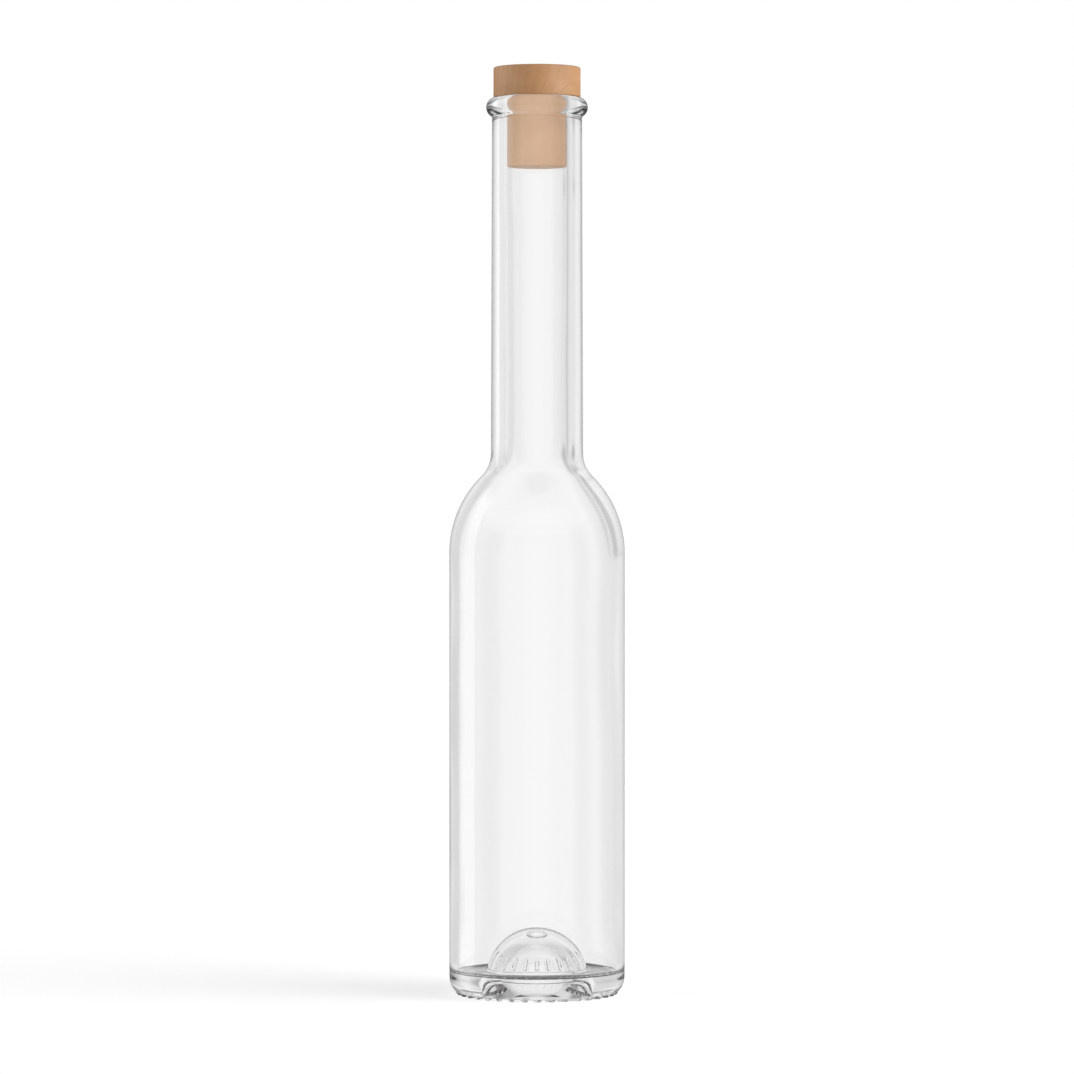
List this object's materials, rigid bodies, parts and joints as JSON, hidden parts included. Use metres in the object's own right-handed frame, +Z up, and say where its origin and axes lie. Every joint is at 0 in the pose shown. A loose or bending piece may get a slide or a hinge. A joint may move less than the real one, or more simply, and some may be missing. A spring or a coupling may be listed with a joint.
{
  "type": "stoppered glass bottle",
  "caption": "Slim round clear-glass bottle with a long neck, a domed foot and a pull-out T-shaped stopper with a beech head.",
  "frame": {"origin": "on the ground plane, at the middle of the bottle's foot", "axes": "+Z up along the bottle's axis; +Y away from the viewer of the picture; +X to the viewer's right"},
  "size_m": [0.057, 0.057, 0.3011],
  "materials": {
    "clear_glass": "clear flint glass, fire-polished",
    "beech": "turned beech, clear matt lacquer",
    "beige_plastic": "foamed polymer in cork beige, fine matt skin",
    "glue": "hot-melt adhesive, set"
  },
  "bodies": {
    "bottle": {"bottle_glass": "clear_glass"},
    "stopper": {"stopper_head": "beech", "stopper_shank": "beige_plastic", "stopper_glue": "glue"}
  },
  "joints": [
    {"name": "stopper_pull", "type": "slide", "parent": "bottle", "child": "stopper", "axis": [0, 0, 1], "range_m": [0, 0.05]}
  ]
}
